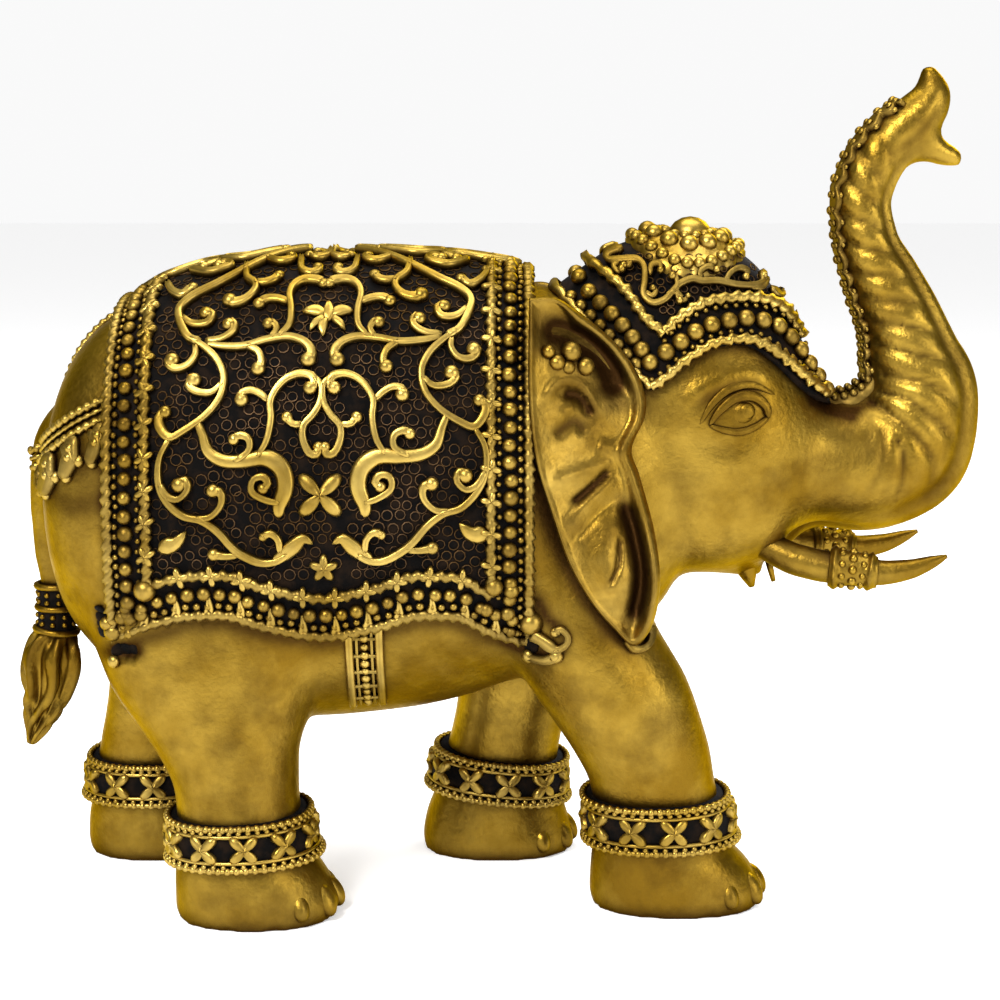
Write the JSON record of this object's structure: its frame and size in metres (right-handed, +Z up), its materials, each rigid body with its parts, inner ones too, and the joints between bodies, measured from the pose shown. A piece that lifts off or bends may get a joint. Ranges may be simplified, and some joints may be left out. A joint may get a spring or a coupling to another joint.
{
  "type": "cast brass elephant figurine",
  "caption": "Walking elephant with raised trunk, saddle cloth with scrollwork, cap and anklets, cast in one piece and standing on its feet",
  "frame": {"origin": "on the ground under the middle of the figure's bounding box", "axes": "+X towards the raised trunk, +Y to the elephant's left side, +Z up"},
  "size_m": [0.2004, 0.0756, 0.1715],
  "materials": {
    "antique_brass": "satin antique brass with dark brown patina in the recesses of the ornament"
  },
  "bodies": {
    "root": {"elephant": "antique_brass"}
  },
  "joints": []
}
